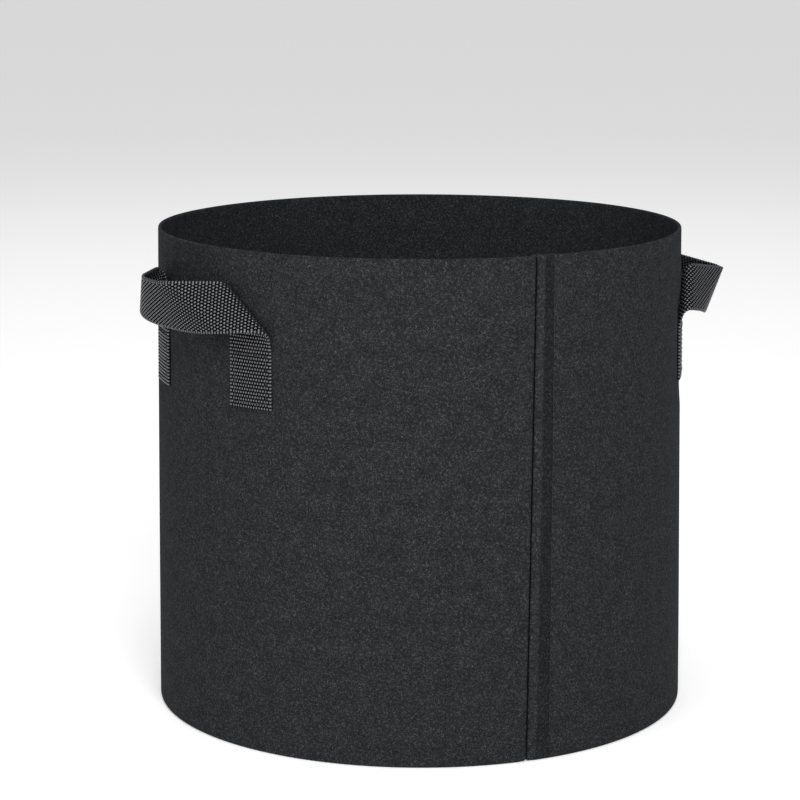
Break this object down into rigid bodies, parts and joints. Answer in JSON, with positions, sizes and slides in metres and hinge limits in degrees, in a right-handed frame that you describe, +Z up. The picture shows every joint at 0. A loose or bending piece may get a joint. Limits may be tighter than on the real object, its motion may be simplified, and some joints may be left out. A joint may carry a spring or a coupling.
{
  "type": "fabric grow bag",
  "caption": "Round felt planting pot, open at the top, with a lapped side seam and a folded webbing carrying handle on each side.",
  "frame": {"origin": "centre of the underside of the base, on the floor", "axes": "+Z up along the wall; the wall's join line faces -Y; the two handles face near -X and +X"},
  "size_m": [0.3532, 0.3058, 0.276],
  "materials": {
    "felt": "needle-punched polyester felt, matt charcoal black",
    "webbing": "plain-woven polypropylene webbing, black with a dull shine",
    "thread": "black polyester sewing thread"
  },
  "bodies": {
    "bag": {"wall_panel": "felt", "base_disc": "felt", "base_turned_up_edge": "felt", "side_seam_join_thread": "thread", "side_seam_topstitch": "thread", "base_seam_thread": "thread", "left_handle_front_end": "webbing", "left_handle_rear_end": "webbing", "left_handle_front_stitching": "thread", "left_handle_rear_stitching": "thread", "right_handle_front_end": "webbing", "right_handle_rear_end": "webbing", "right_handle_front_stitching": "thread", "right_handle_rear_stitching": "thread"},
    "left_handle": {"left_handle_loop": "webbing"},
    "right_handle": {"right_handle_loop": "webbing"}
  },
  "joints": [
    {"name": "left_handle_swing", "type": "hinge", "parent": "bag", "child": "left_handle", "pos_m": [-0.14588, -0.03034, 0.244], "axis": [-0.2036, 0.979, 0], "range_deg": [-35, 40]},
    {"name": "right_handle_swing", "type": "hinge", "parent": "bag", "child": "right_handle", "pos_m": [0.14588, -0.03034, 0.244], "axis": [-0.2036, -0.979, 0], "range_deg": [-20, 55]}
  ]
}
